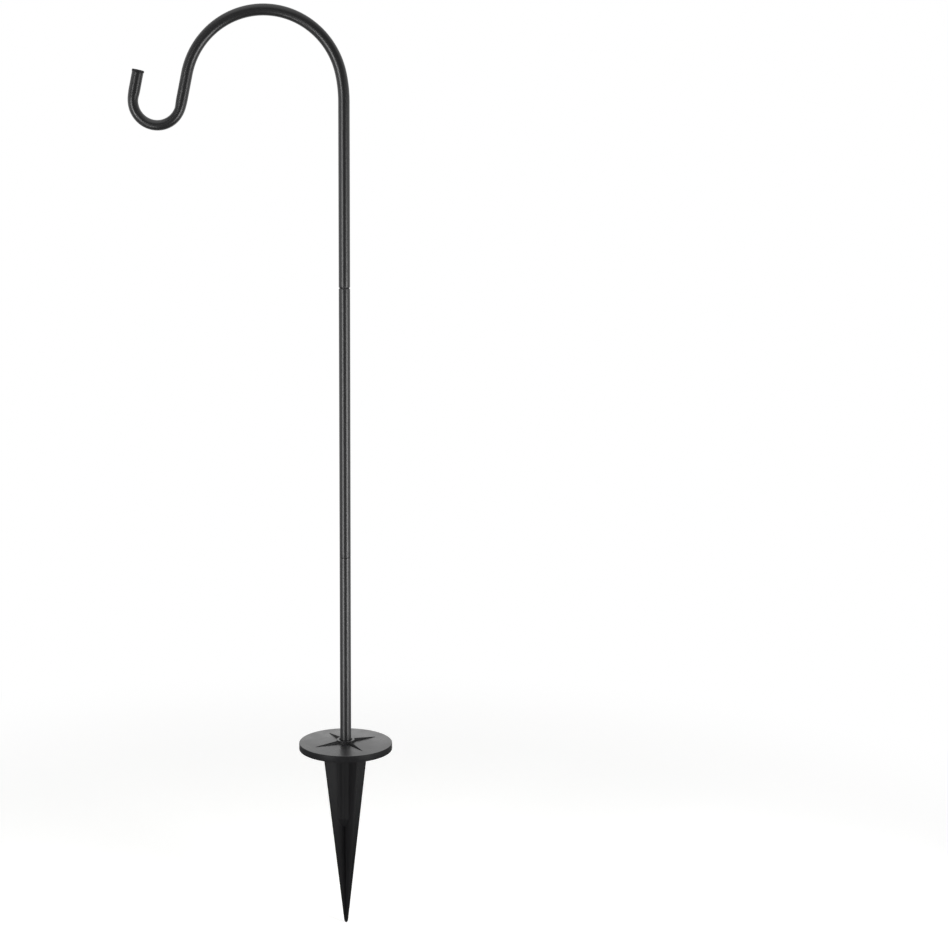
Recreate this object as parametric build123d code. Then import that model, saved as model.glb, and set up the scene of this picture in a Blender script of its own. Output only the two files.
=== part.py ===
from build123d import *
import math
import os

# Garden hook in three push-together tube sections, standing in a moulded ground stake.
# Lengths are in millimetres and angles in degrees. Z is up, the origin is on the pole's
# axis at ground level, and the hook reaches out towards -X.

# Steel tube of the pole and the hook
tube_radius = 5.0
tube_wall = 1.0
section_length = 240.0

# Both tube ends at the upper seam are rolled in, which leaves a V-shaped groove
rolled_height = 0.9
rolled_depth_share = 0.75

# Hook section, measured along the middle of the tube
stem_length = 160.0
lead_in_radius = 111.0
lead_in_turn = 12.5
arch_radius = 67.8
arch_turn = 155.5
limb_length = 27.7
cradle_radius = 20.8
cradle_turn = 180.0
tip_length = 20.5

# The tight bend squeezes the tube: each side is drawn in by the squeeze depth in the plane
# of the bend and let out by the bulge depth across it
squeeze_depth = 0.5
bulge_depth = 0.3
squeeze_length = 7.0

# Connector pins inside the two seams
running_clearance = 0.05
connector_reach = 30.0
connector_chamfer = 1.0
shoulder_height = 0.4
shoulder_width = 0.25

# Push-in plug that closes the tip
flange_height = 1.7
flange_overhang_width = 0.35
flange_chamfer = 0.5
shank_length = 13.0
shank_gap = 0.5
shank_taper_length = 1.2
grip_count = 2
grip_height = 0.8

# Ground stake: foot plate, rim and raised collar
plate_radius = 42.4
plate_thickness = 2.4
rim_height = 6.2
rim_wall = 2.0
rim_chamfer = 0.5
collar_height = 2.6
collar_wall = 3.4
collar_draft_width = 0.3
collar_chamfer = 0.6
collar_root_chamfer = 0.6
mouth_chamfer = 1.2

# Ground stake: socket that the pole stands in
socket_clearance = 0.06
socket_depth = 68.5
socket_wall = 2.0
socket_draft_width = 0.5
ledge_width = 1.4
core_depth = 8.0
socket_floor = 2.6
socket_end_taper_width = 2.4

# Ground stake: crossed blades below the plate, whose four fins taper to a point
spike_depth = 167.0
point_height = 1.6
blade_count = 2
fin_turn = 30.0
fin_reach = 23.6
fin_point_reach = 1.7
fin_root_width = 2.8
fin_point_width = 1.6
fin_draft_share = 0.042
point_share = 0.45

# Ground stake: pointed ribs on top of the plate and webs under it
star_reach = 31.0
star_step_height = 0.1
star_root_width = 3.6
star_tip_width = 0.5
star_tip_height = 0.1
web_width = 1.6
web_drop = 2.6
overrun_height = 1.0

# Sizes and heights that follow from the ones above
bore_radius = tube_radius - tube_wall
rolled_depth = tube_wall * rolled_depth_share
connector_radius = bore_radius - running_clearance
socket_radius = tube_radius + socket_clearance
plate_underside = rim_height - plate_thickness
collar_top = rim_height + collar_height
socket_seat = rim_height - socket_depth
core_floor = socket_seat - core_depth
lower_seam = socket_seat + section_length
middle_foot = lower_seam + shoulder_height
upper_seam = middle_foot + section_length
stem_foot = upper_seam + shoulder_height


def rolled_outline(foot, length):
    """Half section of a straight tube whose lower end is rolled in, from its axis side out."""
    edge_radius = tube_radius - rolled_depth
    rolling_radius = (rolled_height**2 + rolled_depth**2) / (2 * rolled_depth)
    rolling_turn = math.degrees(math.asin(rolled_height / rolling_radius))
    bore = Line((bore_radius, foot + length), (bore_radius, foot))
    land = Line((bore_radius, foot), (edge_radius, foot))
    outside = Line((tube_radius, foot + length), (tube_radius, foot + rolled_height))
    rolling = JernArc(outside @ 1, (0, -1), rolling_radius, -rolling_turn)
    closing = Line((bore_radius, foot + length), (tube_radius, foot + length))
    return make_face([bore, land, rolling, outside, closing])


def rolled_tube(foot, length):
    """Straight tube with its lower end rolled in."""
    return revolve(Plane.XZ * rolled_outline(foot, length), Axis.Z)


def plane_along(path, share):
    """Plane across a path, with its first direction at right angles to the hook."""
    return Plane(origin=path @ share, x_dir=(0, 1, 0), z_dir=path % share)


def hook_paths():
    """Middle line of the hook above its stem, in the order that the tube is bent."""
    lead_in = JernArc((0, stem_foot + stem_length), (0, 1), lead_in_radius, lead_in_turn)
    arch = JernArc(lead_in @ 1, lead_in % 1, arch_radius, arch_turn)
    limb = PolarLine(arch @ 1, limb_length - squeeze_length, direction=arch % 1)
    narrowing = PolarLine(limb @ 1, squeeze_length, direction=limb % 1)
    cradle = JernArc(narrowing @ 1, limb % 1, cradle_radius, -cradle_turn)
    widening = PolarLine(cradle @ 1, squeeze_length, direction=cradle % 1)
    tip = PolarLine(widening @ 1, tip_length - squeeze_length, direction=widening % 1)
    bend = Curve() + [lead_in, arch, limb]
    return [Plane.XZ * path for path in (bend, narrowing, cradle, widening, tip)]


def swept_tube(path):
    """Round tube along a path."""
    start = plane_along(path, 0)
    return sweep(start * (Circle(tube_radius) - Circle(bore_radius)), path)


def squeezed_slice(plane, inset):
    """Oval slice of the squeezed tube; the inset is the wall for the bore, or none."""
    half_across = tube_radius + bulge_depth - inset
    half_in_plane = tube_radius - squeeze_depth - inset
    return plane * Ellipse(half_across, half_in_plane)


def squeezed_rod(narrowing, cradle, widening, inset=0.0):
    """Solid rod round to oval, oval round the cradle's half turn, and oval to round."""
    round_slice = Circle(tube_radius - inset)
    entry, leaving = plane_along(cradle, 0), plane_along(cradle, 1)
    centre = entry.origin - cradle_radius * entry.y_dir
    limb_end = loft([plane_along(narrowing, 0) * round_slice, squeezed_slice(entry, inset)], ruled=True)
    turned = revolve(squeezed_slice(entry, inset), Axis(centre, entry.x_dir), cradle_turn)
    tip_start = loft([squeezed_slice(leaving, inset), plane_along(widening, 1) * round_slice], ruled=True)
    return limb_end + turned + tip_start


def hook_tube():
    """Top section: stem with a rolled foot, big bend, limb, squeezed cradle and open tip."""
    bend, narrowing, cradle, widening, tip = hook_paths()
    stem = rolled_tube(stem_foot, stem_length)
    squeezed = squeezed_rod(narrowing, cradle, widening)
    squeezed -= squeezed_rod(narrowing, cradle, widening, tube_wall)
    return stem + swept_tube(bend) + squeezed + swept_tube(tip)


def tip_plug():
    """Plug with a flange on the tube's end and a shank with grip rings in the bore."""
    tip = hook_paths()[-1]
    flange_radius = tube_radius + flange_overhang_width
    shank_radius = bore_radius - shank_gap
    shank_end = -shank_length
    grip_pitch = (shank_length - shank_taper_length) / (grip_count + 1)
    flange = Cylinder(flange_radius, flange_height, align=(Align.CENTER, Align.CENTER, Align.MIN))
    flange = chamfer(flange.edges().sort_by(Axis.Z)[-1], flange_chamfer)
    outline = Polyline(
        (0, 0),
        (shank_radius, 0),
        (shank_radius, shank_end + shank_taper_length),
        (shank_radius - shank_gap, shank_end),
        (0, shank_end),
        close=True,
    )
    plug = flange + revolve(Plane.XZ * make_face(outline), Axis.Z)
    for grip in range(grip_count):
        grip_foot = -grip_pitch * (grip + 1)
        ring = Polyline(
            (0, grip_foot),
            (bore_radius, grip_foot),
            (shank_radius, grip_foot - grip_height),
            (0, grip_foot - grip_height),
            close=True,
        )
        plug += revolve(Plane.XZ * make_face(ring), Axis.Z)
    return plane_along(tip, 1) * plug


def connector(seam):
    """Pin that joins two tube ends at a seam, with a thin shoulder between the ends."""
    shoulder_radius = bore_radius + shoulder_width
    low = seam - connector_reach
    high = seam + shoulder_height + connector_reach
    outline = Polyline(
        (0, low),
        (connector_radius - connector_chamfer, low),
        (connector_radius, low + connector_chamfer),
        (connector_radius, seam),
        (shoulder_radius, seam),
        (shoulder_radius, seam + shoulder_height),
        (connector_radius, seam + shoulder_height),
        (connector_radius, high - connector_chamfer),
        (connector_radius - connector_chamfer, high),
        (0, high),
        close=True,
    )
    return revolve(Plane.XZ * make_face(outline), Axis.Z)


def middle_tube():
    """Straight section with a square foot and a rolled head at the upper seam."""
    return Plane(origin=(0, 0, upper_seam), z_dir=(0, 0, -1)) * rolled_tube(0, section_length)


def lower_tube():
    """Straight section, cut square at both ends, that stands in the stake's socket."""
    tube = Circle(tube_radius) - Circle(bore_radius)
    return extrude(Plane.XY.offset(socket_seat) * tube, section_length)


def plate_and_socket_outline():
    """Half section of the stake's turned forms: plate, rim, collar and socket tube."""
    collar_radius = socket_radius + collar_wall
    socket_outside = socket_radius + socket_wall
    socket_end = core_floor - socket_floor
    rim_corner = (plate_radius, rim_height)
    collar_root = (collar_radius, rim_height)
    collar_corner = (collar_radius - collar_draft_width, collar_top)
    outline = make_face(
        Polyline(
            (0, socket_end),
            (socket_outside - socket_draft_width - socket_end_taper_width, socket_end),
            (socket_outside - socket_draft_width, socket_end + core_depth),
            (socket_outside, plate_underside),
            (plate_radius - rim_wall, plate_underside),
            (plate_radius - rim_wall, 0),
            (plate_radius, 0),
            rim_corner,
            collar_root,
            collar_corner,
            (0, collar_top),
            close=True,
        )
    )
    bevels = {
        rim_corner: rim_chamfer,
        collar_root: collar_root_chamfer,
        collar_corner: collar_chamfer,
    }
    for corner, bevel in bevels.items():
        outline = chamfer(outline.vertices().sort_by_distance(corner)[0], bevel)
    return outline


def socket_bore():
    """Room for the pole's foot, its ledge, the narrower core below and the flared mouth."""
    core_radius = socket_radius - ledge_width
    outline = Polyline(
        (0, core_floor),
        (core_radius, core_floor),
        (core_radius, socket_seat),
        (socket_radius, socket_seat),
        (socket_radius, collar_top - mouth_chamfer),
        (socket_radius + mouth_chamfer, collar_top),
        (socket_radius + mouth_chamfer, collar_top + overrun_height),
        (0, collar_top + overrun_height),
        close=True,
    )
    return revolve(Plane.XZ * make_face(outline), Axis.Z)


def blade_corners(height, reach, root_width):
    """Corners of a level slice of two opposite fins, which thin outwards by the draft."""
    edge_width = root_width - reach * fin_draft_share
    right_side = [(-reach, edge_width / 2), (0, root_width / 2), (reach, edge_width / 2)]
    return [(x, side * y, height) for x, y in right_side for side in (-1, 1)]


def blade():
    """Two opposite fins in one flat-sided piece that tapers from the plate to a blunt point."""
    top = blade_corners(plate_underside, fin_reach, fin_root_width)
    neck = blade_corners(point_height - spike_depth, fin_point_reach, fin_point_width)
    end = blade_corners(-spike_depth, fin_point_reach * point_share, fin_point_width * point_share)
    return ConvexPolyhedron(top + neck + end)


def star_rib():
    """Pointed rib on the plate, from inside the collar out to nothing, along +X."""
    star_root = socket_radius + mouth_chamfer
    rib = Wedge(
        xsize=star_root_width,
        ysize=star_reach - star_root,
        zsize=collar_height - star_step_height,
        xmin=(star_root_width - star_tip_width) / 2,
        zmin=0,
        xmax=(star_root_width + star_tip_width) / 2,
        zmax=star_tip_height,
        align=(Align.CENTER, Align.MIN, Align.MIN),
    )
    return Plane(origin=(star_root, 0, rim_height), x_dir=(0, -1, 0), z_dir=(0, 0, 1)) * rib


def plate_web():
    """Web under the plate that carries a fin's load out to the rim, along +X."""
    outline = Polyline(
        (socket_radius, plate_underside),
        (plate_radius - rim_wall, plate_underside),
        (plate_radius - rim_wall, plate_underside - star_tip_height),
        (fin_reach, plate_underside - web_drop),
        (socket_radius, plate_underside - web_drop),
        close=True,
    )
    web = Plane.XZ * make_face(outline)
    return extrude(web, web_width / 2, both=True)


def ground_stake():
    """One moulding: foot plate with rim and collar, star ribs, socket, fins and webs."""
    stake = revolve(Plane.XZ * plate_and_socket_outline(), Axis.Z)
    fin_pitch = 180 / blade_count
    for number in range(blade_count):
        stake += Rot(0, 0, fin_turn + number * fin_pitch) * blade()
    for number in range(2 * blade_count):
        stake += Rot(0, 0, fin_turn + number * fin_pitch) * (star_rib() + plate_web())
    return stake - socket_bore()


parts = {
    "ground_stake": ground_stake(),
    "lower_tube": lower_tube(),
    "lower_connector": connector(lower_seam),
    "middle_tube": middle_tube(),
    "upper_connector": connector(upper_seam),
    "hook_tube": hook_tube(),
    "tip_plug": tip_plug(),
}

os.makedirs("parts", exist_ok=True)
for name, solid in parts.items():
    solid.label = name
    export_step(solid, f"parts/{name}.step")
    print(name, round(solid.volume, 1), solid.is_valid, solid.bounding_box())
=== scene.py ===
"""Looks of a garden shepherd's hook: three push-together tube sections in a moulded stake.

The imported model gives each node's place. The tubes and the stake are made again at a finer
grain, with the rounded edges that bending, cutting and moulding leave, and the connector pins
and the tip plug keep their solids. Lengths are in metres unless a name says otherwise.
"""

import logging
import math
from abc import ABC, abstractmethod
from collections.abc import Sequence
from dataclasses import dataclass, field
from enum import Enum

import bmesh
import bpy
from bpy.types import ID, Material, Mesh, Node, NodeOutputs, NodeSocket, NodeTree, Object, World
from mathutils import Matrix, Vector

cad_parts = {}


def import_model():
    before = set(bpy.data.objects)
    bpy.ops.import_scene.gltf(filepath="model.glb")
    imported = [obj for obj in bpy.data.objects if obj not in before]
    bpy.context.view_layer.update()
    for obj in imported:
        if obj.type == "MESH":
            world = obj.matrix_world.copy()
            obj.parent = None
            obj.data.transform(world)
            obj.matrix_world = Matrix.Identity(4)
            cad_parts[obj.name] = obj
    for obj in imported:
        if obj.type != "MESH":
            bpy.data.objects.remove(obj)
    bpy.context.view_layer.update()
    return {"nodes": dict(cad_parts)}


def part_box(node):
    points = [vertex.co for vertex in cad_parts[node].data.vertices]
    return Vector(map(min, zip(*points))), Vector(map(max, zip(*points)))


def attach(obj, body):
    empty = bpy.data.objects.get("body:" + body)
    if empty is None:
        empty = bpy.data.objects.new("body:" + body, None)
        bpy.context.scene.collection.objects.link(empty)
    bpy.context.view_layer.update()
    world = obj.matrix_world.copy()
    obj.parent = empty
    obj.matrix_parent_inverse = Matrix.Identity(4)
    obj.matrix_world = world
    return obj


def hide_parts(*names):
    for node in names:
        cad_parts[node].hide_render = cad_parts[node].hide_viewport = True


LOG = logging.getLogger("shepherds_hook")
MM = 0.001
IMAGE_SIDE = 948
CRADLE_SEAT = (-161.25 * MM, 0.0, 562.9 * MM)
# A colour mix names its sockets as other mixes do, so they are told apart by number.
MIX_FROM, MIX_TO, MIXED = 6, 7, 2
# Layers of ever finer noise in a plain pattern and in a rich one, and the span that most of it fills.
PLAIN, RICH = 3, 4
NOISE_SPAN = (0.3, 0.7)
SMOOTH = {"interpolation_type": "SMOOTHSTEP"}
WHITE = (1.0, 1.0, 1.0, 1.0)
# What the points of a tube's path carry for the sweep.
RING_RADIUS, SQUEEZE = "ring_radius", "squeeze"
ON_AXIS = 1e-9

Colour = tuple[float, float, float, float]
Drawn = dict[str, Node | NodeSocket]
Inputs = dict[str | int, object]
Point2 = tuple[float, float]
Point3 = tuple[float, float, float]


class Body(Enum):
    """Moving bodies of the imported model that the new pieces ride."""

    STAKE = "stake"
    LOWER_POLE = "lower_pole"
    MIDDLE_POLE = "middle_pole"
    HOOK = "hook"


class Slot(Enum):
    """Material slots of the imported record."""

    POWDER_COAT = "powder_coated_steel"
    OXIDE = "black_oxide_steel"
    POLYPROPYLENE = "black_polypropylene"
    PLUG = "black_plug_plastic"


class Shading(Enum):
    """Angle up to which a piece's faces are shaded as one."""

    TURNED = math.radians(28)
    MOULDED = math.radians(35)


def linear_colour(hex_colour: str) -> Colour:
    """Turn an sRGB hex colour into linear light.

    Args:
        hex_colour: Six hex digits, with or without a leading hash.

    Returns:
        Linear red, green and blue, and an alpha of one.
    """
    digits = hex_colour.lstrip("#")
    channels = [int(digits[place : place + 2], 16) / 255 for place in (0, 2, 4)]
    linear = [c / 12.92 if c <= 0.04045 else ((c + 0.055) / 1.055) ** 2.4 for c in channels]
    return (linear[0], linear[1], linear[2], 1.0)


def add_node(
    tree: NodeTree,
    kind: str,
    inputs: Inputs | Sequence[object] = (),
    **settings: object,
) -> Node:
    """Add a node with its settings, and set or link its inputs.

    Args:
        tree: Tree that gets the node.
        kind: Blender's name for the node's type.
        inputs: Value, output or node for each input, by name or number or in the inputs' order; a
            node stands for its first output.
        **settings: Properties of the node.

    Returns:
        The new node.
    """
    node = tree.nodes.new(kind)
    for name, value in settings.items():
        setattr(node, name, value)
    for key, value in inputs.items() if isinstance(inputs, dict) else enumerate(inputs):
        source = value.outputs[0] if isinstance(value, Node) else value
        if isinstance(source, NodeSocket):
            tree.links.new(source, node.inputs[key])
        else:
            node.inputs[key].default_value = source
    return node


def empty_tree(owner: Material | World) -> NodeTree:
    """Give a material or the world an empty node tree.

    Args:
        owner: What the tree is for.

    Returns:
        The tree.
    """
    owner.use_nodes = True
    owner.node_tree.nodes.clear()
    return owner.node_tree


@dataclass(frozen=True)
class Pattern:
    """Noise of a real size, stretched where it is drawn out, and raised where it has a depth."""

    size_mm: float
    depth_mm: float = 0.0
    stretch: Point3 = (1, 1, 1)
    detail: int = PLAIN

    def scale(self) -> float:
        """Texture scale at which one wave is as large as the pattern's."""
        return 1 / (self.size_mm * MM)


@dataclass(frozen=True, kw_only=True)
class Finish:
    """A material with one shader: patterns mix its tones, vary its roughness and raise its relief."""

    name: str
    tones: tuple[str, str]
    worn: str = "#000000"
    roughness: Point2
    dull_span: Point2 = NOISE_SPAN
    index: float = 1.5
    specular: float = 0.5
    metallic: float = 0.0
    # Fields of the patterns that mix the tones and vary the roughness.
    toned_by: str = "clouds"
    dulled_by: str = "grain"

    def wear(self, tree: NodeTree, drawn: Drawn) -> float | Node:
        """Share of the worn tone: none, unless a finish works it out."""
        return 0.0

    def dullness(self, tree: NodeTree, drawn: Drawn) -> Node:
        """Roughness between its two ends, as its pattern varies."""
        uneven = (drawn[self.dulled_by], *self.dull_span, *self.roughness)
        return add_node(tree, "ShaderNodeMapRange", uneven, **SMOOTH)

    def make(self) -> Material:
        """Build the material, with the patterns that have a depth raised one on another.

        Returns:
            The material, whose patterns lie on the piece's own coordinates.
        """
        material = bpy.data.materials.new(self.name)
        tree = empty_tree(material)
        place = add_node(tree, "ShaderNodeTexCoord").outputs["Object"]
        drawn: Drawn = {"place": place}
        relief: Inputs = {}
        for label, pattern in vars(self).items():
            if not isinstance(pattern, Pattern):
                continue
            stretched = add_node(tree, "ShaderNodeMapping", {"Vector": place, "Scale": pattern.stretch})
            noise = {"Vector": stretched, "Scale": pattern.scale(), "Detail": pattern.detail}
            drawn[label] = add_node(tree, "ShaderNodeTexNoise", noise)
            if pattern.depth_mm:
                raised = {"Height": drawn[label], "Distance": pattern.depth_mm * MM, **relief}
                relief["Normal"] = add_node(tree, "ShaderNodeBump", raised)
        deep, pale, worn = (linear_colour(tone) for tone in (*self.tones, self.worn))
        clean = {0: drawn[self.toned_by], MIX_FROM: deep, MIX_TO: pale}
        coat = add_node(tree, "ShaderNodeMix", clean, data_type="RGBA").outputs[MIXED]
        marked = {0: self.wear(tree, drawn), MIX_FROM: coat, MIX_TO: worn}
        inputs = {
            "Base Color": add_node(tree, "ShaderNodeMix", marked, data_type="RGBA").outputs[MIXED],
            "Roughness": self.dullness(tree, drawn),
            "Metallic": self.metallic,
            "IOR": self.index,
            "Specular IOR Level": self.specular,
            **relief,
        }
        shader = add_node(tree, "ShaderNodeBsdfPrincipled", inputs)
        add_node(tree, "ShaderNodeOutputMaterial", {"Surface": shader})
        return material


@dataclass(frozen=True, kw_only=True)
class PowderCoat(Finish):
    """Satin black powder coat on steel tube: dark, even and slightly pebbled, with soft bands of light."""

    seams: tuple[float, ...]
    seat: Point3
    name: str = Slot.POWDER_COAT.value
    tones: tuple[str, str] = ("#0f0f10", "#151516")
    worn: str = "#303032"
    roughness: Point2 = (0.318, 0.342)
    dull_span: Point2 = (0.25, 0.75)
    index: float = 1.52
    # The coat's real pebbles are half as wide and too fine to show, so they are drawn this coarse.
    pebbles: Pattern = Pattern(1.8, depth_mm=0.001)
    grain: Pattern = Pattern(0.4, depth_mm=0.0004)
    clouds: Pattern = Pattern(38.0)
    rubs: Pattern = Pattern(1.1, stretch=(1, 1, 0.08))
    rub_span: Point2 = (0.5, 0.68)
    rub_share: float = 0.7
    rub_reach: Point2 = (0.4 * MM, 3.5 * MM)
    seat_reach: Point2 = (2.7 * MM, 9 * MM)
    seat_polish: float = 0.07

    def wear(self, tree: NodeTree, drawn: Drawn) -> Node:
        """Work out the share of rubbed coat, in streaks along the tube that fade away from the seams.

        Args:
            tree: The material's tree.
            drawn: The place on the tube and the patterns.

        Returns:
            The node that gives the share.
        """
        streaks = (drawn["rubs"], *self.rub_span, 0, self.rub_share)
        rubbed = add_node(tree, "ShaderNodeMapRange", streaks, **SMOOTH)
        height = add_node(tree, "ShaderNodeSeparateXYZ", (drawn["place"],)).outputs["Z"]
        nearest: float | Node = self.rub_reach[1]
        for seam in self.seams:
            above = add_node(tree, "ShaderNodeMath", (height, seam), operation="SUBTRACT")
            gap = add_node(tree, "ShaderNodeMath", (above,), operation="ABSOLUTE")
            nearest = add_node(tree, "ShaderNodeMath", (gap, nearest), operation="MINIMUM")
        close = add_node(tree, "ShaderNodeMapRange", (nearest, *self.rub_reach, 1, 0), **SMOOTH)
        return add_node(tree, "ShaderNodeMath", (close, rubbed), operation="MULTIPLY")

    def dullness(self, tree: NodeTree, drawn: Drawn) -> Node:
        """Work out the roughness, which is lower in the cradle, where use polishes the coat.

        Args:
            tree: The material's tree.
            drawn: The place on the tube and the patterns.

        Returns:
            The node that gives the roughness.
        """
        ends = (drawn["place"], self.seat)
        off_seat = add_node(tree, "ShaderNodeVectorMath", ends, operation="DISTANCE").outputs["Value"]
        fall = (off_seat, *self.seat_reach, self.seat_polish, 0)
        polish = add_node(tree, "ShaderNodeMapRange", fall, **SMOOTH)
        parts = (super().dullness(tree, drawn), polish)
        return add_node(tree, "ShaderNodeMath", parts, operation="SUBTRACT")


@dataclass(frozen=True, kw_only=True)
class MouldedPolypropylene(Finish):
    """Injection-moulded black polypropylene off a spark-eroded mould: even, dull and near black."""

    name: str = Slot.POLYPROPYLENE.value
    tones: tuple[str, str] = ("#121213", "#181819")
    worn: str = "#262627"
    roughness: Point2 = (0.39, 0.47)
    grain_roughness: float = 0.04
    index: float = 1.49
    specular: float = 0.11
    toned_by: str = "flow"
    dulled_by: str = "flow"
    flow: Pattern = Pattern(14.0, depth_mm=0.02, stretch=(1, 1, 0.35), detail=RICH)
    # The mould's real grain is about 0.1 mm wide and too fine to show, so it is drawn this coarse.
    grain: Pattern = Pattern(0.55, depth_mm=0.003)
    scratches: Pattern = Pattern(0.9, stretch=(0.12, 1, 1), detail=RICH)
    scratch_span: Point2 = (0.62, 0.72)
    scratch_share: float = 0.12

    @classmethod
    def polished_painted_sheen(cls) -> "MouldedPolypropylene":
        """Take the plastic off the faces that the mould polishes: glossier and scratched, with paler tones
        that are painted sheen for the greyer look they have at a low angle.

        Returns:
            The glossier finish, with its painted sheen.
        """
        return cls(
            name="black_polypropylene_polished",
            # The paler tones are painted sheen: the upper faces are given a lighter colour for the light
            # they catch.
            tones=("#1b1b1c", "#1d1d1e"),
            roughness=(0.24, 0.32),
            specular=0.95,
            scratch_share=0.35,
        )

    def wear(self, tree: NodeTree, drawn: Drawn) -> Node:
        """Share of scuffed plastic, in short scratches."""
        strong = (drawn["scratches"], *self.scratch_span, 0, self.scratch_share)
        return add_node(tree, "ShaderNodeMapRange", strong, **SMOOTH)

    def dullness(self, tree: NodeTree, drawn: Drawn) -> Node:
        """Roughness that follows the flow marks, with the grain's on top."""
        grained = (drawn["grain"], self.grain_roughness, super().dullness(tree, drawn))
        return add_node(tree, "ShaderNodeMath", grained, operation="MULTIPLY_ADD")


@dataclass(frozen=True, kw_only=True)
class BlackOxide(Finish):
    """Oiled black oxide on turned steel pins: near black, with fine turning rings and a brown bloom."""

    name: str = Slot.OXIDE.value
    tones: tuple[str, str] = ("#3c3c40", "#2c2b2a")
    roughness: Point2 = (0.32, 0.48)
    metallic: float = 1.0
    toned_by: str = "bloom"
    dulled_by: str = "bloom"
    bloom: Pattern = Pattern(2.4, detail=RICH)
    # Real turning rings are about 0.1 mm apart and too fine to show, so they are drawn this coarse.
    rings: Pattern = Pattern(0.45, depth_mm=0.003, stretch=(0.02, 0.02, 1), detail=2)


@dataclass(frozen=True, kw_only=True)
class PlugPolyethylene(Finish):
    """Soft black polyethylene of the push-in plug: duller and a shade darker than the coat beside it."""

    name: str = Slot.PLUG.value
    tones: tuple[str, str] = ("#101011", "#161617")
    roughness: Point2 = (0.5, 0.6)
    index: float = 1.51
    specular: float = 0.26
    grain: Pattern = Pattern(0.3, depth_mm=0.004)
    clouds: Pattern = Pattern(3.0)


def show(name: str, data: ID) -> Object:
    """Put a mesh, lamp or camera into the scene.

    Args:
        name: Name of its object.
        data: What is shown.

    Returns:
        The object.
    """
    shown = bpy.data.objects.new(name, data)
    bpy.context.scene.collection.objects.link(shown)
    return shown


def mesh_from(shell: bmesh.types.BMesh, name: str) -> Mesh:
    """Turn a shell into a mesh.

    Args:
        shell: The shell, which is used up.
        name: Name of the mesh.

    Returns:
        The mesh.
    """
    mesh = bpy.data.meshes.new(name)
    shell.to_mesh(mesh)
    shell.free()
    return mesh


def place_piece(mesh: Mesh, name: str, body: Body, node: str, slot: Slot, shading: Shading) -> Object:
    """Show a mesh as a finished piece that stands for a node, with its faces turned outwards.

    Args:
        mesh: The piece's mesh, already in its place.
        name: Name of the piece.
        body: Body that it moves with.
        node: Node that it stands for.
        slot: Material slot meant for its finish; not used.
        shading: How its faces meet.

    Returns:
        The piece.
    """
    shell = bmesh.new()
    shell.from_mesh(mesh)
    bmesh.ops.recalc_face_normals(shell, faces=shell.faces)
    shell.to_mesh(mesh)
    shell.free()
    mesh.shade_smooth()
    mesh.set_sharp_from_angle(angle=shading.value)
    piece = show(name, mesh)
    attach(piece, body.value)
    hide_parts(node)
    return piece


class FormTree(ABC):
    """Geometry nodes that turn a source mesh into the real faces of a piece, all in one finish."""

    NAME = "form"
    SIZES: dict[str, str] = {}

    def __init__(self) -> None:
        """Build the tree, with an input for the geometry, for each size and for the finish."""
        self.tree = bpy.data.node_groups.new(self.NAME, "GeometryNodeTree")
        geometry = "NodeSocketGeometry"
        sockets = {"Geometry": geometry, **self.SIZES, "Finish": "NodeSocketMaterial"}
        for label, kind in sockets.items():
            self.tree.interface.new_socket(label, in_out="INPUT", socket_type=kind)
        self.tree.interface.new_socket("Geometry", in_out="OUTPUT", socket_type=geometry)
        given = add_node(self.tree, "NodeGroupInput").outputs
        real = add_node(self.tree, "GeometryNodeRealizeInstances", {"Geometry": self.form(given)})
        dressing = {"Geometry": real, "Material": given["Finish"]}
        dressed = add_node(self.tree, "GeometryNodeSetMaterial", dressing)
        add_node(self.tree, "NodeGroupOutput", {"Geometry": dressed})

    @abstractmethod
    def form(self, given: NodeOutputs) -> Node:
        """Shape the geometry with the given sizes."""

    def run(self, source: Mesh, name: str, **inputs: object) -> Mesh:
        """Run the tree on a mesh and keep the result as a plain mesh.

        Args:
            source: Mesh that goes in.
            name: Name of the mesh that comes out.
            **inputs: Value of each input, with underscores for spaces.

        Returns:
            The plain mesh.
        """
        carrier = show(f"{name}_source", source)
        modifier = carrier.modifiers.new("form", "NODES")
        modifier.node_group = self.tree
        for item in self.tree.interface.items_tree:
            label = item.name.replace(" ", "_")
            if item.in_out == "INPUT" and label in inputs:
                modifier[item.identifier] = inputs[label]
        graph = bpy.context.evaluated_depsgraph_get()
        mesh = bpy.data.meshes.new_from_object(carrier.evaluated_get(graph), depsgraph=graph)
        mesh.name = name
        carrier.modifiers.clear()
        bpy.data.objects.remove(carrier)
        bpy.data.meshes.remove(source)
        return mesh


@dataclass(frozen=True)
class EndForm:
    """How a tube's end is finished: cut square with a broken edge, or rolled in."""

    height: float
    depth: float
    steps: int = 6
    # Distance between the two rings that turn the end face into the wall.
    closing: float = 0.002 * MM

    def rings(self, radius: float, bore: float) -> list[Point2]:
        """Work out the rings of the end.

        Args:
            radius: Radius of the tube.
            bore: Radius of its bore, where the end face closes.

        Returns:
            Distance from the end and radius of each ring, from the end inwards.
        """
        rolling = (self.height**2 + self.depth**2) / (2 * self.depth)
        widest = math.asin(min(1.0, self.height / rolling))
        rings = [(0.0, bore)]
        for step in range(self.steps + 1):
            angle = widest * (1 - step / self.steps)
            offset = self.height - rolling * math.sin(angle)
            rings.append((max(offset, self.closing), radius - rolling * (1 - math.cos(angle))))
        return rings


@dataclass(frozen=True)
class Run:
    """One stretch of a tube's middle line, straight or with an even bend."""

    length: float
    turn: float = 0.0
    steps: int = 1

    def way(self, heading: float, share: float) -> Vector:
        """Work out the way travelled over a share of the run.

        Args:
            heading: Direction at the run's start, measured from +Z to -X.
            share: Share of the run's length.

        Returns:
            The way, in the XZ plane.
        """
        if self.turn == 0:
            return Vector((-math.sin(heading), 0, math.cos(heading))) * (self.length * share)
        turned = heading + self.turn * share
        across, up = math.cos(turned) - math.cos(heading), math.sin(turned) - math.sin(heading)
        return Vector((across, 0, up)) / (self.turn / self.length)


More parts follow.
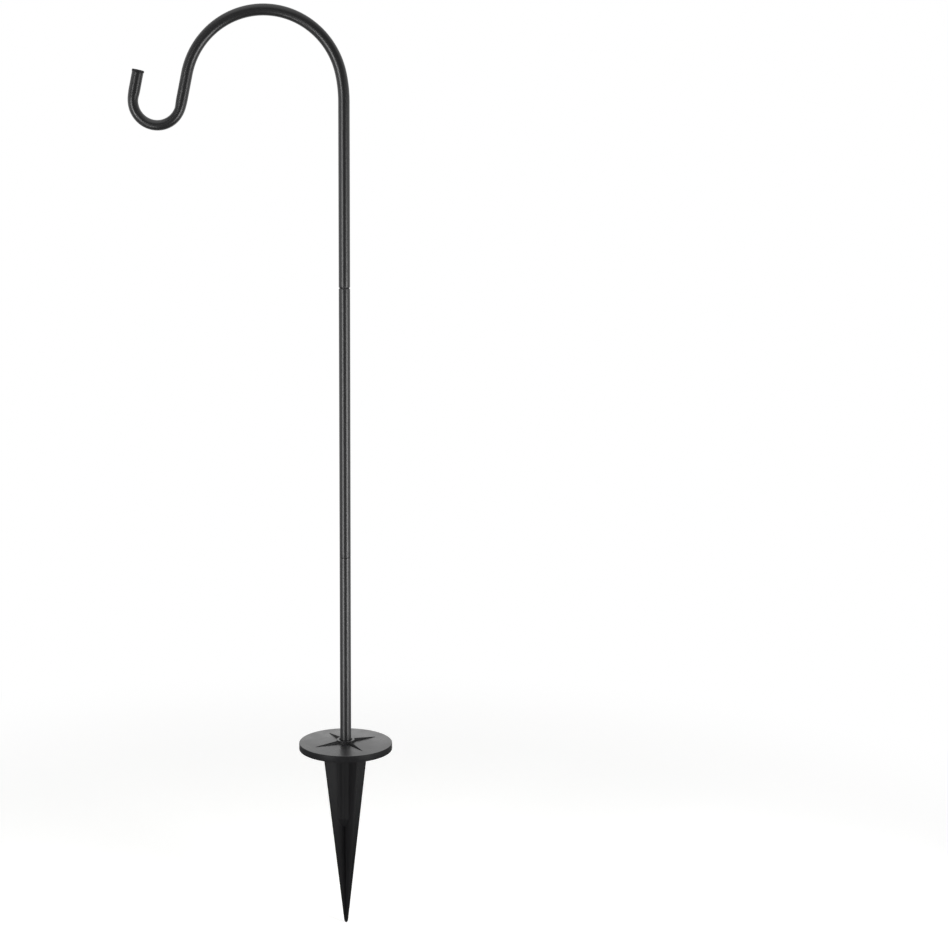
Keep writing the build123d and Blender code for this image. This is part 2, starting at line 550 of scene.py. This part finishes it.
@dataclass
class TubeSection:
    """One push-together section of steel tube, built up along its middle line in the XZ plane."""

    name: str
    body: Body
    node: str
    runs: Sequence[Run]
    foot: EndForm
    head: EndForm
    radius: float
    wall: float = 1.0 * MM
    # Lengths along the line between which the tube is squeezed.
    squeezed: Point2 | None = None
    squeeze_ease: float = 11.0 * MM
    squeeze_in_plane: float = 0.5 * MM
    squeeze_across: float = 0.3 * MM
    sides: int = 64

    def middle_line(self) -> list[tuple[Vector, float]]:
        """Follow the runs from the foot.

        Returns:
            Place and squeeze of each station, from the foot itself.
        """
        place, heading, travelled = Vector((0, 0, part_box(self.node)[0].z)), 0.0, 0.0
        stations = [(place, 0.0)]
        for run in self.runs:
            from_place, from_heading = place, heading
            for step in range(1, run.steps + 1):
                share = step / run.steps
                heading = from_heading + run.turn * share
                place = from_place + run.way(from_heading, share)
                stations.append((place, self.squeeze_at(travelled + run.length * share)))
            travelled += run.length
        return stations

    def squeeze_at(self, travelled: float) -> float:
        """Work out how far the tube is squeezed, eased over both ends of the tight bend.

        Args:
            travelled: Length along the middle line.

        Returns:
            Share of the full squeeze.
        """
        if self.squeezed is None:
            return 0.0
        start, end = self.squeezed
        inside = min(travelled - start, end - travelled) / self.squeeze_ease + 0.5
        share = min(1.0, max(0.0, inside))
        return share * share * (3 - 2 * share)

    def path_mesh(self) -> Mesh:
        """Make the chain of stations, with the rings of both ends.

        Returns:
            A mesh of edges, whose points carry their ring's radius and squeeze.
        """
        bore = self.radius - self.wall
        line = self.middle_line()
        foot, head = line[0][0], line[-1][0]
        foot_way, head_way = Vector((0, 0, 1)), (head - line[-2][0]).normalized()
        stations = [(foot + foot_way * at, size, 0.0) for at, size in self.foot.rings(self.radius, bore)]
        stations += [(place, self.radius, squeeze) for place, squeeze in line[1:-1]]
        head_rings = reversed(self.head.rings(self.radius, bore))
        stations += [(head - head_way * at, size, 0.0) for at, size in head_rings]
        places, sizes, squeezes = zip(*stations)
        mesh = bpy.data.meshes.new(f"{self.name}_path")
        mesh.from_pydata(places, [(number, number + 1) for number in range(len(places) - 1)], [])
        for label, values in ((RING_RADIUS, sizes), (SQUEEZE, squeezes)):
            mesh.attributes.new(label, "FLOAT", "POINT").data.foreach_set("value", values)
        return mesh

    def build(self, sweep: "SweepTree", finish: Material) -> Object:
        """Sweep the section and show it.

        Args:
            sweep: The sweep that all sections share.
            finish: Material of the tube.

        Returns:
            The section.
        """
        mesh = sweep.run(
            self.path_mesh(),
            self.name,
            Bore_radius=self.radius - self.wall,
            Sides=self.sides,
            In_plane_share=self.squeeze_in_plane / self.radius,
            Across_share=self.squeeze_across / self.radius,
            Finish=finish,
        )
        for label in (RING_RADIUS, SQUEEZE):
            mesh.attributes.remove(mesh.attributes[label])
        return place_piece(mesh, self.name, self.body, self.node, Slot.POWDER_COAT, Shading.TURNED)


class SweepTree(FormTree):
    """Geometry nodes that sweep a tube's wall and bore along a chain of stations."""

    NAME = "tube_sweep"
    SIZES = {
        "Bore radius": "NodeSocketFloat",
        "Sides": "NodeSocketInt",
        "In plane share": "NodeSocketFloat",
        "Across share": "NodeSocketFloat",
    }
    WELD = 0.0005 * MM

    def form(self, given: NodeOutputs) -> Node:
        """Sweep both walls and squeeze the rings.

        Args:
            given: The chain of stations and the sizes.

        Returns:
            The node that gives the tube.
        """
        tree = self.tree
        path = add_node(tree, "GeometryNodeMeshToCurve", {"Mesh": given["Geometry"]})
        capture = add_node(tree, "GeometryNodeCaptureAttribute", {"Geometry": path})
        capture.capture_items.new("VECTOR", "Centre")
        place = add_node(tree, "GeometryNodeInputPosition").outputs[0]
        tree.links.new(place, capture.inputs["Centre"])
        size = add_node(tree, "GeometryNodeInputNamedAttribute", {"Name": RING_RADIUS}, data_type="FLOAT")
        circle = {"Resolution": given["Sides"], "Radius": 1.0}
        profile = add_node(tree, "GeometryNodeCurvePrimitiveCircle", circle)
        line = {"Curve": capture.outputs["Geometry"], "Profile Curve": profile}
        outside = add_node(tree, "GeometryNodeCurveToMesh", {**line, "Scale": size})
        inside = add_node(tree, "GeometryNodeCurveToMesh", {**line, "Scale": given["Bore radius"]})
        joined = add_node(tree, "GeometryNodeJoinGeometry")
        for part in (outside, add_node(tree, "GeometryNodeFlipFaces", {"Mesh": inside})):
            tree.links.new(part.outputs[0], joined.inputs[0])
        welded = {"Geometry": joined, "Distance": self.WELD}
        closed = add_node(tree, "GeometryNodeMergeByDistance", welded)
        squeezed = {"Geometry": closed, "Offset": self.squeeze(given, place, capture.outputs["Centre"])}
        return add_node(tree, "GeometryNodeSetPosition", squeezed)

    def squeeze(self, given: NodeOutputs, place: NodeSocket, centre: NodeSocket) -> Node:
        """Offset that draws a ring in along the bend's plane and lets it out across it.

        Args:
            given: The sizes.
            place: Position of each point.
            centre: Centre of each point's ring.

        Returns:
            The node that gives the offset.
        """
        tree = self.tree
        amount = add_node(tree, "GeometryNodeInputNamedAttribute", {"Name": SQUEEZE}, data_type="FLOAT")
        inwards = add_node(tree, "ShaderNodeMath", (given["In plane share"], -1), operation="MULTIPLY")
        shares = {"X": inwards, "Y": given["Across share"], "Z": inwards}
        share = add_node(tree, "ShaderNodeCombineXYZ", shares)
        arm = add_node(tree, "ShaderNodeVectorMath", (place, centre), operation="SUBTRACT")
        change = add_node(tree, "ShaderNodeVectorMath", (arm, share), operation="MULTIPLY")
        return add_node(tree, "ShaderNodeVectorMath", {0: change, "Scale": amount}, operation="SCALE")


@dataclass
class TubeSet:
    """The three tube sections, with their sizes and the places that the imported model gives."""

    stem_length: float = 160.0 * MM
    lead_in_radius: float = 111.0 * MM
    lead_in_turn: float = math.radians(12.5)
    arch_radius: float = 67.8 * MM
    arch_turn: float = math.radians(155.5)
    limb_length: float = 27.7 * MM
    cradle_radius: float = 20.8 * MM
    cradle_turn: float = math.radians(180)
    tip_length: float = 20.5 * MM
    rolled: EndForm = field(default_factory=lambda: EndForm(0.9 * MM, 0.75 * MM))
    cut: EndForm = field(default_factory=lambda: EndForm(0.18 * MM, 0.18 * MM, steps=4))

    def hook_runs(self) -> list[Run]:
        """List the runs of the top section in the order that the tube is bent.

        Returns:
            The runs, from the seam to the tip.
        """
        return [
            Run(self.stem_length, steps=24),
            Run(self.lead_in_radius * self.lead_in_turn, self.lead_in_turn, steps=8),
            Run(self.arch_radius * self.arch_turn, self.arch_turn, steps=78),
            Run(self.limb_length, steps=16),
            Run(self.cradle_radius * self.cradle_turn, -self.cradle_turn, steps=66),
            Run(self.tip_length, steps=12),
        ]

    def cradle_span(self) -> Point2:
        """Work out where the tight bend lies along the top section's line.

        Returns:
            Length travelled at its start and at its end.
        """
        *before, cradle, _ = self.hook_runs()
        start = sum(run.length for run in before)
        return (start, start + cradle.length)

    def build(self, finish: Material) -> list[Object]:
        """Build the sections from the ground up.

        Args:
            finish: Material of the tubes.

        Returns:
            The three pieces.
        """
        straight = {}
        for node in ("lower_tube", "middle_tube"):
            low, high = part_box(node)
            straight[node] = [Run(high.z - low.z, steps=30)]
        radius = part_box("lower_tube")[1].x
        lower = ("lower_section", Body.LOWER_POLE, "lower_tube", straight["lower_tube"])
        middle = ("middle_section", Body.MIDDLE_POLE, "middle_tube", straight["middle_tube"])
        hook = ("hook_section", Body.HOOK, "hook_tube", self.hook_runs())
        sections = [
            TubeSection(*lower, self.cut, self.cut, radius),
            TubeSection(*middle, self.cut, self.rolled, radius),
            TubeSection(*hook, self.rolled, self.cut, radius, squeezed=self.cradle_span()),
        ]
        sweep = SweepTree()
        return [section.build(sweep, finish) for section in sections]


@dataclass(frozen=True)
class Corner:
    """A corner of a turned outline, with the radius that rounds it."""

    radius: float
    height: float
    rounding: float = 0.0

    def place(self) -> Vector:
        """Corner as a point of the half section."""
        return Vector((self.radius, self.height))


def rounded_outline(corners: Sequence[Corner], steps: int = 5) -> list[Vector]:
    """Round the corners of an open outline.

    Args:
        corners: Corners from one end of the outline to the other.
        steps: Number of steps in each rounded corner.

    Returns:
        Points of the outline.
    """
    points = [corners[0].place()]
    for before, corner, after in zip(corners, corners[1:], corners[2:]):
        here = corner.place()
        if corner.rounding == 0:
            points.append(here)
            continue
        into = (before.place() - here).normalized()
        out = (after.place() - here).normalized()
        half = into.angle(out) / 2
        reach = corner.rounding / math.tan(half)
        centre = here + (into + out).normalized() * (corner.rounding / math.sin(half))
        start, end = here + into * reach - centre, here + out * reach - centre
        sweep = start.angle_signed(end)
        for step in range(steps + 1):
            points.append(centre + Matrix.Rotation(-sweep * step / steps, 2) @ start)
    points.append(corners[-1].place())
    return points


def shell_over(rings: Sequence[Sequence[Point3]]) -> bmesh.types.BMesh:
    """Close a shell over rings of points, with a ring of one point as a pole.

    Args:
        rings: Points of each ring from one end to the other, the same number in each or a single one.

    Returns:
        The shell.
    """
    shell = bmesh.new()
    corners = [[shell.verts.new(point) for point in ring] for ring in rings]
    sides = max(len(ring) for ring in rings)
    for low, high in zip(corners, corners[1:]):
        for side in range(sides):
            after = (side + 1) % sides
            lower = (low[side % len(low)], low[after % len(low)])
            upper = (high[after % len(high)], high[side % len(high)])
            face = list(dict.fromkeys(lower + upper))
            if len(face) > 2:
                shell.faces.new(face)
    for end in (corners[0][::-1], corners[-1]):
        if len(end) > 2:
            shell.faces.new(end)
    return shell


def turned_mesh(name: str, outline: Sequence[Vector], sides: int) -> Mesh:
    """Turn an outline that starts and ends on the axis into a closed mesh.

    Args:
        name: Name of the mesh.
        outline: Points of the half section, as radius and height.
        sides: Number of sides round the axis.

    Returns:
        The mesh.
    """
    rings = []
    for point in outline:
        turns = [2 * math.pi * side / sides for side in range(1 if point.x < ON_AXIS else sides)]
        rings.append([(point.x * math.cos(turn), point.x * math.sin(turn), point.y) for turn in turns])
    return mesh_from(shell_over(rings), name)


class RoundAxisTree(FormTree):
    """Geometry nodes that set copies of a feature, which lies along +X, at even turns round the pole."""

    NAME = "round_the_axis"
    SIZES = {
        "Count": "NodeSocketInt",
        "Pitch": "NodeSocketFloat",
        "First turn": "NodeSocketFloat",
    }

    def form(self, given: NodeOutputs) -> Node:
        """Set the copies.

        Args:
            given: The feature and the sizes.

        Returns:
            The node that gives the copies.
        """
        tree = self.tree
        points = add_node(tree, "GeometryNodeMeshLine", {"Count": given["Count"], "Offset": (0, 0, 0)})
        number = add_node(tree, "GeometryNodeInputIndex")
        turned = (number, given["Pitch"], given["First turn"])
        angle = add_node(tree, "ShaderNodeMath", turned, operation="MULTIPLY_ADD")
        about_axis = {"Axis": (0, 0, 1), "Angle": angle}
        rotation = add_node(tree, "FunctionNodeAxisAngleToRotation", about_axis)
        copies = {"Points": points, "Instance": given["Geometry"], "Rotation": rotation}
        return add_node(tree, "GeometryNodeInstanceOnPoints", copies)


@dataclass
class GroundStake:
    """The moulded ground stake: turned plate, collar and socket, crossed blades, star ribs and webs."""

    plate_thickness: float = 2.4 * MM
    rim_height: float = 6.2 * MM
    rim_wall: float = 2.0 * MM
    collar_wall: float = 3.4 * MM
    collar_draft: float = 0.3 * MM
    socket_radius: float = 5.06 * MM
    socket_wall: float = 2.0 * MM
    socket_draft: float = 0.5 * MM
    socket_seat: float = -62.3 * MM
    socket_floor: float = 2.6 * MM
    socket_end_taper: float = 2.4 * MM
    ledge_width: float = 1.4 * MM
    core_depth: float = 8.0 * MM
    mouth: float = 1.2 * MM
    blade_count: int = 2
    first_turn: float = math.radians(30)
    blade_reach: float = 23.6 * MM
    blade_root_width: float = 2.8 * MM
    blade_draft_share: float = 0.042
    neck_reach: float = 1.7 * MM
    neck_width: float = 1.6 * MM
    point_height: float = 1.6 * MM
    point_share: float = 0.45
    blade_rounding: float = 0.3 * MM
    rib_reach: float = 31.0 * MM
    rib_root_width: float = 3.6 * MM
    rib_root_height: float = 2.5 * MM
    rib_tip_width: float = 0.6 * MM
    rib_tip_height: float = 0.2 * MM
    rib_crown: float = 0.9
    web_width: float = 1.6 * MM
    web_drop: float = 2.6 * MM
    web_rounding: float = 0.2 * MM
    overlap: float = 0.6 * MM
    root_swell: float = 2.4 * MM
    root_spread: float = math.radians(36)
    polish_and_sheen_reach: float = 0.1 * MM
    edge_rounding: float = 0.5 * MM
    rim_top_rounding: float = 0.55 * MM
    rim_foot_rounding: float = 0.4 * MM
    rim_root_rounding: float = 0.6 * MM
    socket_end_rounding: float = 1.0 * MM
    bore_rounding: float = 0.3 * MM
    lip_rounding: float = 0.2 * MM
    sharp_angle: float = math.radians(20)
    flat_angle: float = math.radians(0.2)
    rib_stations: int = 14
    rib_arc_steps: int = 12
    sides: int = 160

    def __post_init__(self) -> None:
        """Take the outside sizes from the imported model."""
        low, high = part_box("ground_stake")
        self.plate_radius = high.x
        self.collar_top = high.z
        self.point = low.z
        self.underside = self.rim_height - self.plate_thickness

    def turned_outline(self) -> list[Vector]:
        """Draw the half section of plate, rim, collar, socket tube and bore.

        Returns:
            Points from the socket's end, up its outside and round the plate, to the bore's floor.
        """
        outside = self.socket_radius + self.socket_wall
        collar = self.socket_radius + self.collar_wall
        mouth = self.socket_radius + self.mouth
        core = self.socket_radius - self.ledge_width
        core_floor = self.socket_seat - self.core_depth
        end = core_floor - self.socket_floor
        shoulder = outside - self.socket_draft
        rim_inside = self.plate_radius - self.rim_wall
        corners = [
            Corner(0, end),
            Corner(shoulder - self.socket_end_taper, end, self.edge_rounding),
            Corner(shoulder, end + self.core_depth, self.socket_end_rounding),
            Corner(outside, self.underside, self.edge_rounding),
            Corner(rim_inside, self.underside, self.rim_root_rounding),
            Corner(rim_inside, 0, self.rim_foot_rounding),
            Corner(self.plate_radius, 0, self.edge_rounding),
            Corner(self.plate_radius, self.rim_height, self.rim_top_rounding),
            Corner(collar, self.rim_height, self.edge_rounding),
            Corner(collar - self.collar_draft, self.collar_top, self.edge_rounding),
            Corner(mouth, self.collar_top, self.lip_rounding),
            Corner(self.socket_radius, self.collar_top - self.mouth, self.bore_rounding),
            Corner(self.socket_radius, self.socket_seat),
            Corner(core, self.socket_seat, self.lip_rounding),
            Corner(core, core_floor, self.bore_rounding),
            Corner(0, core_floor),
        ]
        return rounded_outline(corners)

    def swell_roots(self, mesh: Mesh) -> None:
        """Swell the socket tube's outside towards the fins, as the fillets at their roots do.

        Args:
            mesh: The turned body, whose tube runs down from the plate.
        """
        end = self.socket_seat - self.core_depth - self.socket_floor
        top = self.underside - self.overlap / 2
        inside = self.socket_radius + self.overlap
        pitch = math.pi / self.blade_count
        for vertex in mesh.vertices:
            reach = vertex.co.xy.length
            if vertex.co.z > top or not inside <= reach <= self.blade_reach:
                continue
            turn = math.atan2(vertex.co.y, vertex.co.x) - self.first_turn
            off = (turn + pitch / 2) % pitch - pitch / 2
            share = max(0.0, 1 - (off / self.root_spread) ** 2) ** 2
            rising = min(1.0, (vertex.co.z - end) / self.core_depth)
            vertex.co.xy *= 1 + self.root_swell * share * rising / reach

    def blade_mesh(self) -> Mesh:
        """Make one blade of two opposite fins, from the plate to the blunt point.

        Returns:
            The blade along X, with rounded edges.
        """
        slices = [
            (self.underside + self.overlap, self.blade_reach, self.blade_root_width),
            (self.point + self.point_height, self.neck_reach, self.neck_width),
            (self.point, self.neck_reach * self.point_share, self.neck_width * self.point_share),
        ]
        shell = bmesh.new()
        for height, reach, root in slices:
            edge = root - reach * self.blade_draft_share
            for x, half in ((-reach, edge / 2), (0, root / 2), (reach, edge / 2)):
                for side in (-1, 1):
                    shell.verts.new((x, side * half, height))
        bmesh.ops.convex_hull(shell, input=shell.verts)
        bmesh.ops.dissolve_limit(shell, angle_limit=self.flat_angle, verts=shell.verts, edges=shell.edges)
        return self.rounded(shell, "blade", self.blade_rounding)

    def web_mesh(self) -> Mesh:
        """Make one web under the plate, from the socket tube out to the rim.

        Returns:
            The web along +X, with rounded edges.
        """
        inner = self.socket_radius + self.overlap
        outer = self.plate_radius - self.rim_wall + self.overlap
        top = self.underside + self.overlap
        low = self.underside - self.web_drop
        rim_end = self.underside - self.rib_tip_height
        outline = [(inner, low), (self.blade_reach, low), (outer, rim_end), (outer, top), (inner, top)]
        half = self.web_width / 2
        sides = [[(x, y, z) for x, z in outline] for y in (half, -half)]
        return self.rounded(shell_over(sides), "web", self.web_rounding)

    def rounded(self, shell: bmesh.types.BMesh, name: str, rounding: float) -> Mesh:
        """Round a shell's sharp edges and turn it into a mesh.

        Args:
            shell: The shell, which is used up.
            name: Name of the mesh.
            rounding: Radius of the edges.

        Returns:
            The mesh.
        """
        sharp = [edge for edge in shell.edges if edge.calc_face_angle(0) > self.sharp_angle]
        shape = {"segments": 3, "profile": 0.5, "affect": "EDGES", "clamp_overlap": True}
        bmesh.ops.bevel(shell, geom=sharp, offset=rounding, **shape)
        return mesh_from(shell, name)

    def rib_mesh(self) -> Mesh:
        """Make one needle-shaped rib on the plate, with a rounded back, from the collar to its point.

        Returns:
            The rib along +X.
        """
        root = self.socket_radius + self.mouth
        steps = self.rib_arc_steps
        rings = []
        for station in range(self.rib_stations + 1):
            share = station / self.rib_stations
            x = root + (self.rib_reach - root) * share
            half = (self.rib_root_width + (self.rib_tip_width - self.rib_root_width) * share) / 2
            height = self.rib_root_height + (self.rib_tip_height - self.rib_root_height) * share
            ring = []
            for step in range(steps + 1):
                angle = math.pi * step / steps
                across = math.copysign(abs(math.cos(angle)) ** self.rib_crown, math.cos(angle))
                up = math.sin(angle) ** self.rib_crown if 0 < step < steps else -self.overlap / height
                ring.append((x, half * across, self.rim_height + height * up))
            rings.append(ring)
        return mesh_from(shell_over(rings), "rib")

    def polish_and_paint_sheen_on_tops(self, mesh: Mesh) -> None:
        """Give the upper faces of the plate and the collar the second material, glossier and with paler
        tones that are painted sheen.

        Args:
            mesh: The turned body, with its two materials.
        """
        for face in mesh.polygons:
            heights = (abs(face.center.z - top) for top in (self.rim_height, self.collar_top))
            if min(heights) < self.polish_and_sheen_reach:
                # These faces get the paler copy, whose tones are painted sheen.
                face.material_index = 1

    def build(self, finish: Material, polished_painted_sheen: Material) -> list[Object]:
        """Build the moulding's pieces.

        Args:
            finish: Material of the moulding.
            polished_painted_sheen: The same plastic for the top faces that the mould polishes, glossier
                and with paler tones that are painted sheen.

        Returns:
            The pieces.
        """
        body = turned_mesh("plate_and_socket", self.turned_outline(), self.sides)
        self.swell_roots(body)
        body.materials.append(finish)
        body.materials.append(polished_painted_sheen)
        self.polish_and_paint_sheen_on_tops(body)
        tree = RoundAxisTree()
        fins = 2 * self.blade_count
        crossed = {"Count": self.blade_count, "Pitch": math.pi / self.blade_count}
        all_round = {"Count": fins, "Pitch": 2 * math.pi / fins}
        common = {"First_turn": self.first_turn, "Finish": finish}
        meshes = [
            body,
            tree.run(self.blade_mesh(), "crossed_blades", **crossed, **common),
            tree.run(self.rib_mesh(), "star_ribs", **all_round, **common),
            tree.run(self.web_mesh(), "plate_webs", **all_round, **common),
        ]
        standing = (Body.STAKE, "ground_stake", Slot.POLYPROPYLENE, Shading.MOULDED)
        return [place_piece(mesh, mesh.name, *standing) for mesh in meshes]


@dataclass(frozen=True)
class KeptSolids:
    """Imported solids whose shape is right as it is, and which only get their finish."""

    pins: tuple[str, ...] = ("lower_connector", "upper_connector")
    plugs: tuple[str, ...] = ("tip_plug",)

    def dress(self, nodes: dict[str, Object], oxide: Material, plug: Material) -> list[Object]:
        """Give the kept solids their materials.

        Args:
            nodes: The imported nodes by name.
            oxide: Finish of the connector pins.
            plug: Finish of the tip plug.

        Returns:
            The solids.
        """
        finishes = {**dict.fromkeys(self.pins, oxide), **dict.fromkeys(self.plugs, plug)}
        for name, finish in finishes.items():
            for material_slot in nodes[name].material_slots:
                material_slot.material = finish
        return [nodes[name] for name in finishes]


@dataclass(frozen=True)
class Softbox:
    """A soft lamp on the camera's side, level with what it lights unless it has a height to aim at."""

    name: str
    bearing_degrees: float
    distance: float
    height: float
    size: Point2
    power: float
    aim: float | None = None

    def build(self) -> None:
        """Add the lamp."""
        data = bpy.data.lights.new(self.name, "AREA")
        data.shape = "RECTANGLE"
        data.size, data.size_y = self.size
        data.energy = self.power
        bearing = math.radians(self.bearing_degrees)
        lamp = show(self.name, data)
        across, out = self.distance * math.sin(bearing), self.distance * math.cos(bearing)
        lamp.location = (across, -out, self.height)
        aim = self.height if self.aim is None else self.aim
        lamp.rotation_euler = (Vector((0, 0, aim)) - lamp.location).to_track_quat("-Z", "Y").to_euler()
        lamp.visible_camera = False


@dataclass
class Studio:
    """White surroundings, a pale floor at the stake's point, soft lamps and the photograph's camera.

    In a gloss the room is dim in front, where the camera and the lamps stand, and white behind.
    """

    floor_radius: float = 4.0
    floor_sides: int = 96
    floor_gap: float = 0.1 * MM
    floor_fade: Point2 = (0.25, 0.9)
    floor_colour: str = "#dcdcda"
    floor_lift: float = 0.57
    floor_edge: Point2 = (0.3, 1.2)
    world_light: float = 0.25
    room_light: float = 0.22
    room_edge: Point2 = (-0.75, 0.1)
    camera_place: Point3 = (0.02798, -1.5, 0.4797)
    camera_pitch: float = math.radians(8.576)
    focal_pixels: float = 1702.09
    axis_column: float = 376.33
    sensor: float = 36.0

    def build(self) -> None:
        """Set up the whole stage."""
        bpy.context.scene.view_settings.view_transform = "Standard"
        self.add_world()
        self.add_floor()
        self.add_camera()
        for lamp in self.lamps():
            lamp.build()

    def lamps(self) -> list[Softbox]:
        """List the lamps whose reflections run down the pole, dimmer wings outside them, and one overhead.

        The left lamp's upper part stands far off, where the arch's inner side doesn't show it.

        Returns:
            The lamps.
        """
        # Each has its name, bearing, distance, height, width and height of its face, and watts.
        return [
            Softbox("left_low", -40, 0.62, -0.035, (0.22, 0.24), 1.34),
            Softbox("left_high", -40, 1.6, 0.34, (0.57, 0.88), 13.2),
            Softbox("right_low", 50, 0.62, 0.1225, (0.26, 0.555), 3.7),
            Softbox("right_high", 50, 0.62, 0.475, (0.26, 0.15), 0.47),
            Softbox("left_wing_low", -80, 0.62, -0.0475, (0.36, 0.205), 0.19),
            Softbox("left_wing_high", -80, 0.62, 0.3825, (0.36, 0.655), 0.3),
            Softbox("right_wing_low", 84, 0.62, -0.05, (0.36, 0.21), 0.38),
            Softbox("right_wing_high", 84, 0.62, 0.31, (0.36, 0.51), 0.3),
            Softbox("top_softbox", -20, 0.6, 1.7, (1.2, 1.2), 3.5, aim=0.4),
        ]

    @staticmethod
    def shown_rays(tree: NodeTree) -> Node:
        """Tell the rays that show the background, straight or in a gloss or glass, from the rest.

        Args:
            tree: Tree that gets the nodes.

        Returns:
            The node that gives one for them and zero for the rest.
        """
        path = add_node(tree, "ShaderNodeLightPath").outputs
        straight = (path["Is Camera Ray"], path["Is Glossy Ray"])
        seen = add_node(tree, "ShaderNodeMath", straight, operation="MAXIMUM")
        both = (seen, path["Is Transmission Ray"])
        return add_node(tree, "ShaderNodeMath", both, operation="MAXIMUM")

    def surroundings(self, tree: NodeTree, way: NodeSocket, edge: Point2) -> Node:
        """Brightness of what shows: white to the camera, and in a gloss a room that is dim in front.

        Args:
            tree: Tree that gets the nodes.
            way: Direction in the world, or place on the floor.
            edge: Where along Y the room starts to brighten, and where it is white.

        Returns:
            The node that gives the brightness, from that of the room to one.
        """
        depth = add_node(tree, "ShaderNodeSeparateXYZ", (way,)).outputs["Y"]
        room = add_node(tree, "ShaderNodeMapRange", (depth, *edge, self.room_light, 1.0), **SMOOTH)
        camera = add_node(tree, "ShaderNodeLightPath").outputs["Is Camera Ray"]
        return add_node(tree, "ShaderNodeMath", (room, camera), operation="MAXIMUM")

    def add_world(self) -> None:
        """White background, dimmer in front in a gloss, that lights the object at a lower, plain level."""
        world = bpy.data.worlds.new("white_studio")
        bpy.context.scene.world = world
        tree = empty_tree(world)
        way = add_node(tree, "ShaderNodeTexCoord").outputs["Generated"]
        seen = self.surroundings(tree, way, self.room_edge)
        light = add_node(tree, "ShaderNodeBackground", {"Color": WHITE, "Strength": self.world_light})
        white = add_node(tree, "ShaderNodeBackground", {"Color": WHITE, "Strength": seen})
        mixed = add_node(tree, "ShaderNodeMixShader", (self.shown_rays(tree), light, white))
        add_node(tree, "ShaderNodeOutputWorld", {"Surface": mixed})

    def add_floor(self) -> None:
        """Pale floor at the stake's point, which keeps the shadow and runs out into the white."""
        shell = bmesh.new()
        bmesh.ops.create_circle(shell, cap_ends=True, radius=self.floor_radius, segments=self.floor_sides)
        mesh = mesh_from(shell, "floor")
        mesh.materials.append(self.floor_material())
        floor = show("floor", mesh)
        floor.location.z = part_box("ground_stake")[0].z - self.floor_gap

    def floor_material(self) -> Material:
        """Matt pale floor, lifted to white for the rays that show it, and see-through from below.

        Returns:
            The material.
        """
        material = bpy.data.materials.new("pale_floor")
        tree = empty_tree(material)
        place = add_node(tree, "ShaderNodeTexCoord").outputs["Object"]
        matt = add_node(tree, "ShaderNodeBsdfDiffuse", {"Color": linear_colour(self.floor_colour)})
        shown = self.shown_rays(tree)
        seen = self.surroundings(tree, place, self.floor_edge)
        lift = add_node(tree, "ShaderNodeMath", (shown, self.floor_lift), operation="MULTIPLY")
        glow = add_node(tree, "ShaderNodeEmission", {"Strength": lift})
        near = add_node(tree, "ShaderNodeAddShader", (matt, glow))
        white = add_node(tree, "ShaderNodeEmission", {"Strength": seen})
        distance = add_node(tree, "ShaderNodeVectorMath", (place,), operation="LENGTH").outputs["Value"]
        far = add_node(tree, "ShaderNodeMapRange", (distance, *self.floor_fade), **SMOOTH)
        gloss = add_node(tree, "ShaderNodeLightPath").outputs["Is Glossy Ray"]
        covered = add_node(tree, "ShaderNodeMath", (far, gloss), operation="MAXIMUM")
        share = add_node(tree, "ShaderNodeMath", (covered, shown), operation="MULTIPLY")
        mixed = add_node(tree, "ShaderNodeMixShader", (share, near, white))
        below = add_node(tree, "ShaderNodeNewGeometry").outputs["Backfacing"]
        clear = add_node(tree, "ShaderNodeBsdfTransparent")
        sided = add_node(tree, "ShaderNodeMixShader", (below, mixed, clear))
        add_node(tree, "ShaderNodeOutputMaterial", {"Surface": sided})
        return material

    def add_camera(self) -> None:
        """Camera at the place and angle that fit the foot plate, the tubes and the pole's lean."""
        data = bpy.data.cameras.new("photo_camera")
        data.sensor_width = self.sensor
        data.lens = self.focal_pixels * self.sensor / IMAGE_SIDE
        data.shift_x = (IMAGE_SIDE / 2 - self.axis_column) / IMAGE_SIDE
        camera = show("photo_camera", data)
        camera.location = self.camera_place
        camera.rotation_euler = (math.pi / 2 - self.camera_pitch, 0, 0)
        bpy.context.scene.camera = camera


def main() -> None:
    """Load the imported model, build each sub-assembly in order and set the stage."""
    logging.basicConfig(level=logging.INFO, format="%(name)s: %(message)s")
    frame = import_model()
    seams = (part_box("lower_tube")[1].z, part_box("middle_tube")[1].z)
    pieces = TubeSet().build(PowderCoat(seams=seams, seat=CRADLE_SEAT).make())
    pieces += GroundStake().build(MouldedPolypropylene().make(), MouldedPolypropylene.polished_painted_sheen().make())
    pieces += KeptSolids().dress(frame["nodes"], BlackOxide().make(), PlugPolyethylene().make())
    for piece in pieces:
        LOG.info("%s: %d faces", piece.name, len(piece.data.polygons))
    Studio().build()


if __name__ == "__main__":
    main()
